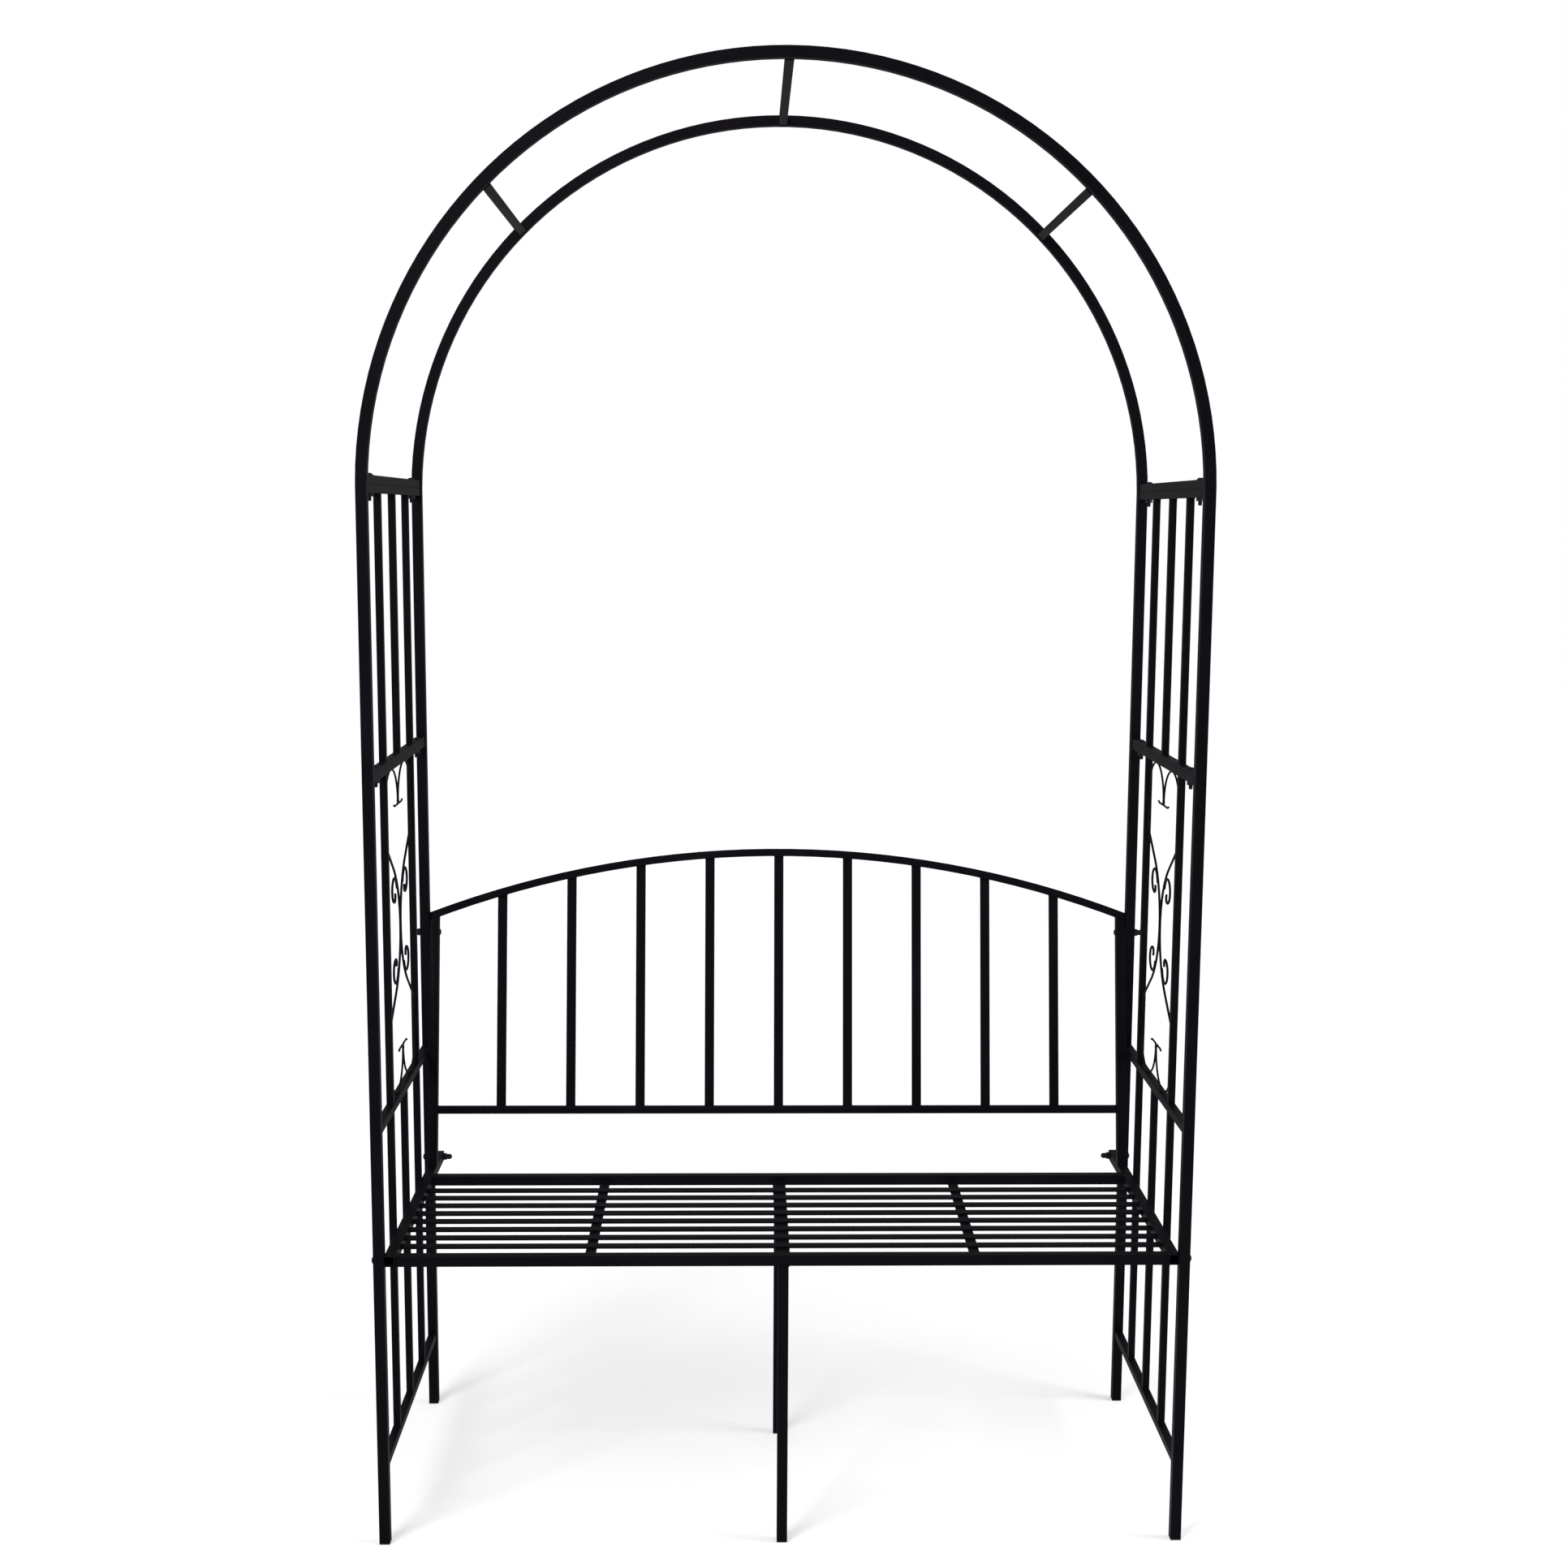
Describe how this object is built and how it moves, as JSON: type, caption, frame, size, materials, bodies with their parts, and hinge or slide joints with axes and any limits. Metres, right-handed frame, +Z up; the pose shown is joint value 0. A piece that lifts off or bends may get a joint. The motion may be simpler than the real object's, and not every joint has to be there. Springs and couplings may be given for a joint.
{
  "type": "arbour seat",
  "caption": "Round-topped garden arch in black square steel tube with scrolled side panels and a slatted two-seat bench with an arched backrest.",
  "frame": {"origin": "on the ground, under the centre of the whole outline; the posts' middle lies 11 mm in front of it, because the reclined backrest leans out behind the rear posts", "axes": "+X to the right for someone who faces the seat, +Y from front to rear, +Z up"},
  "size_m": [1.178, 0.4918, 2.065],
  "materials": {
    "frame": "black powder coat, fine texture, low sheen, over welded square tube, flat bar and round rod",
    "fasteners": "black-plated steel, satin",
    "foot_plugs": "moulded black plastic, matt"
  },
  "bodies": {
    "root": {"arch_foot_bar_left": "frame", "arch_foot_bar_right": "frame", "arch_front_tube": "frame", "arch_rear_tube": "frame", "arch_rung_centre": "frame", "arch_rung_left": "frame", "arch_rung_right": "frame", "back_bars": "frame", "back_bolts": "fasteners", "back_bottom_rail": "frame", "back_cap_nuts": "fasteners", "back_end_post_left": "frame", "back_end_post_right": "frame", "back_top_rail": "frame", "foot_plugs": "foot_plugs", "lower_bars_left": "frame", "lower_bars_right": "frame", "lower_post_front_left": "frame", "lower_post_front_right": "frame", "lower_post_rear_left": "frame", "lower_post_rear_right": "frame", "lower_rail_left": "frame", "lower_rail_right": "frame", "lower_top_bar_left": "frame", "lower_top_bar_right": "frame", "panel_bolts": "fasteners", "panel_nuts": "fasteners", "scroll_arcs_left": "frame", "scroll_arcs_right": "frame", "scroll_bars_left": "frame", "scroll_bars_right": "frame", "scroll_curls_left": "frame", "scroll_curls_right": "frame", "scroll_hoops_left": "frame", "scroll_hoops_right": "frame", "scroll_rail_left": "frame", "scroll_rail_right": "frame", "seat_bolts": "fasteners", "seat_cap_nuts": "fasteners", "seat_centre_strip": "frame", "seat_cross_strips": "frame", "seat_front_rail": "frame", "seat_leg_front": "frame", "seat_leg_rear": "frame", "seat_rear_rail": "frame", "seat_side_rail_left": "frame", "seat_side_rail_right": "frame", "seat_slats": "frame", "upper_bars_left": "frame", "upper_bars_right": "frame", "upper_bottom_bar_left": "frame", "upper_bottom_bar_right": "frame", "upper_post_front_left": "frame", "upper_post_front_right": "frame", "upper_post_rear_left": "frame", "upper_post_rear_right": "frame", "upper_top_bar_left": "frame", "upper_top_bar_right": "frame"}
  },
  "joints": []
}
